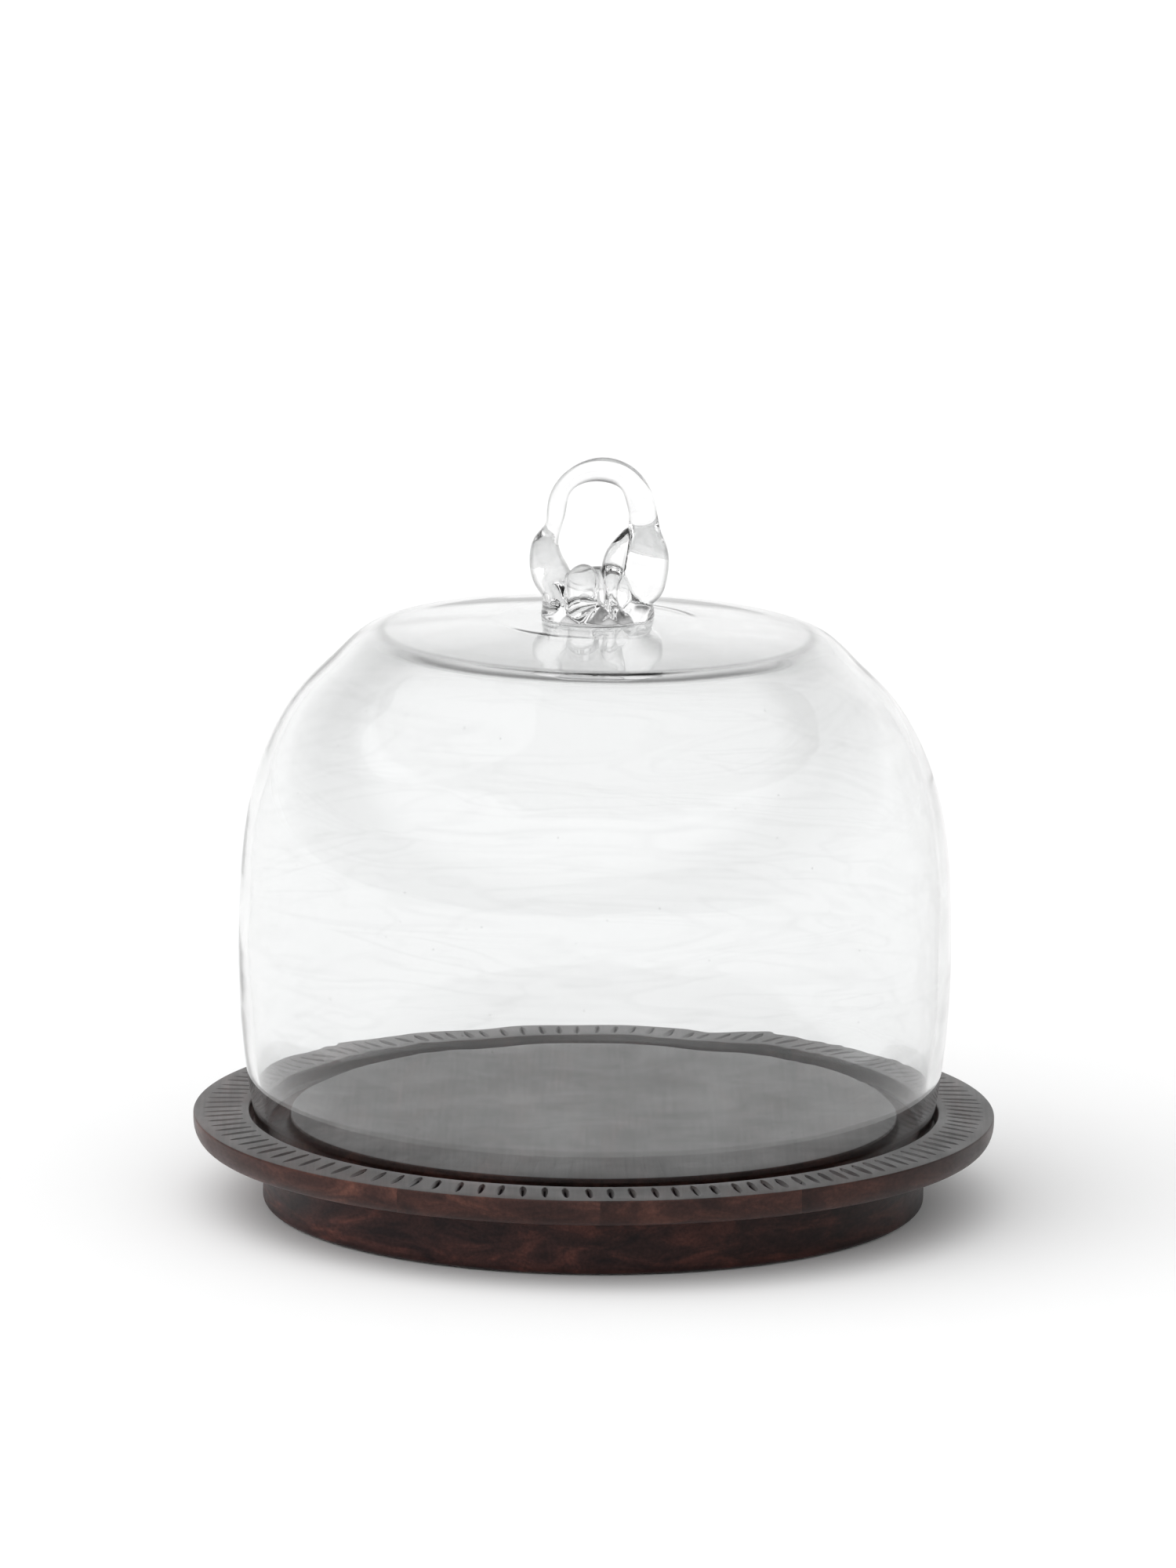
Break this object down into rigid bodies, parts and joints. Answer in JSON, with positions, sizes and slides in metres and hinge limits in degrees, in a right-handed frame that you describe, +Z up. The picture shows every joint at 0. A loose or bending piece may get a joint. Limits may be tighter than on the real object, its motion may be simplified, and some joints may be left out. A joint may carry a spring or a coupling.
{
  "type": "bell jar dome",
  "caption": "Clear blown-glass bell dome with a hand-formed loop handle, resting in the groove of a dark round wooden board with a notched rim and a turned foot.",
  "frame": {"origin": "centre of the footprint, on the surface that the object stands on", "axes": "+Z up along the dome's axis, +X to the right across the handle's loop, -Y the front"},
  "size_m": [0.254, 0.254, 0.2403],
  "materials": {
    "clear_glass": "fire-polished, clear",
    "dark_wood": "dark stain under a satin oil finish",
    "felt": "matte pressed felt"
  },
  "bodies": {
    "base": {"board_stave_1": "dark_wood", "board_stave_2": "dark_wood", "board_stave_3": "dark_wood", "board_stave_4": "dark_wood", "foot_ring": "dark_wood", "foot_pads": "felt"},
    "dome": {"glass_dome": "clear_glass", "handle_root": "clear_glass", "handle_loop": "clear_glass"}
  },
  "joints": [
    {"name": "dome_lift", "type": "slide", "parent": "base", "child": "dome", "axis": [0, 0, 1], "range_m": [0, 0.2]}
  ]
}
